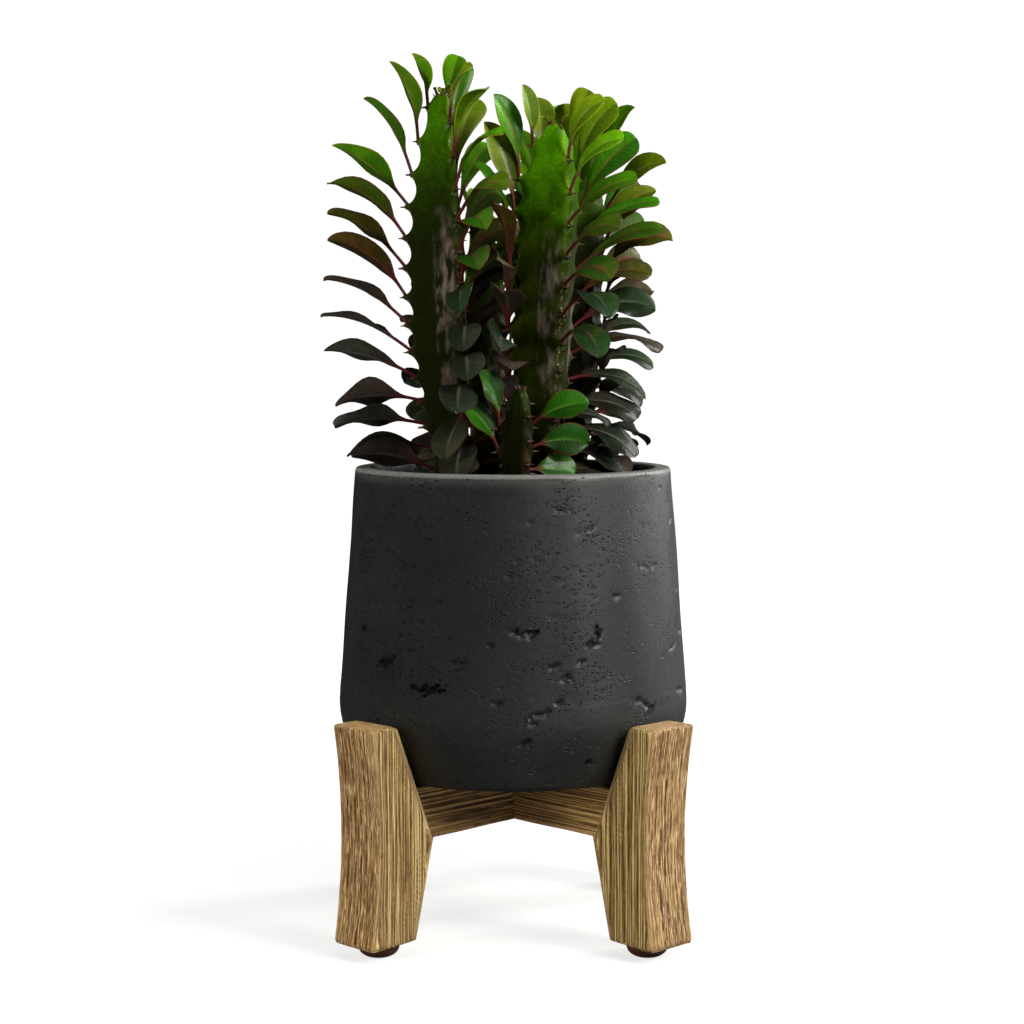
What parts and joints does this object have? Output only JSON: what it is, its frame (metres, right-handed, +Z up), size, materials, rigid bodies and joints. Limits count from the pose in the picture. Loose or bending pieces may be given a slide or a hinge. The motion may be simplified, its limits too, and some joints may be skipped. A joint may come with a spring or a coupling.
{
  "type": "potted milk tree",
  "caption": "Ribbed upright leafy succulent stems in a round dark fibre-concrete planter, held by a four-legged wooden cradle with crossed bars.",
  "frame": {"origin": "on the ground, under the middle of the whole outline; the planter's axis stands 5 mm towards +X of it", "axes": "+Z up, the front view looks along +Y, +X to the right of the front view"},
  "size_m": [0.2284, 0.2181, 0.5389],
  "materials": {
    "planter": "matte charcoal fibre concrete with pits",
    "soil": "damp bark and peat potting mix",
    "plant": "waxy green skin, leaves from bright green to dark maroon green",
    "wood": "wire-brushed brown wood with raised pale grain",
    "dowel": "plain beech",
    "glide": "smooth dark brown"
  },
  "bodies": {
    "root": {"leg_front_left": "wood", "leg_front_right": "wood", "leg_rear_right": "wood", "leg_rear_left": "wood", "glide_front_left": "glide", "glide_front_right": "glide", "glide_rear_right": "glide", "glide_rear_left": "glide", "dowel_front_left": "dowel", "dowel_front_right": "dowel", "dowel_rear_right": "dowel", "dowel_rear_left": "dowel", "cross_bar_lower": "wood", "cross_bar_upper": "wood", "planter": "planter", "soil": "soil", "stem_left": "plant", "stem_centre": "plant", "stem_right": "plant", "stem_rear": "plant", "shoot_front": "plant"}
  },
  "joints": []
}
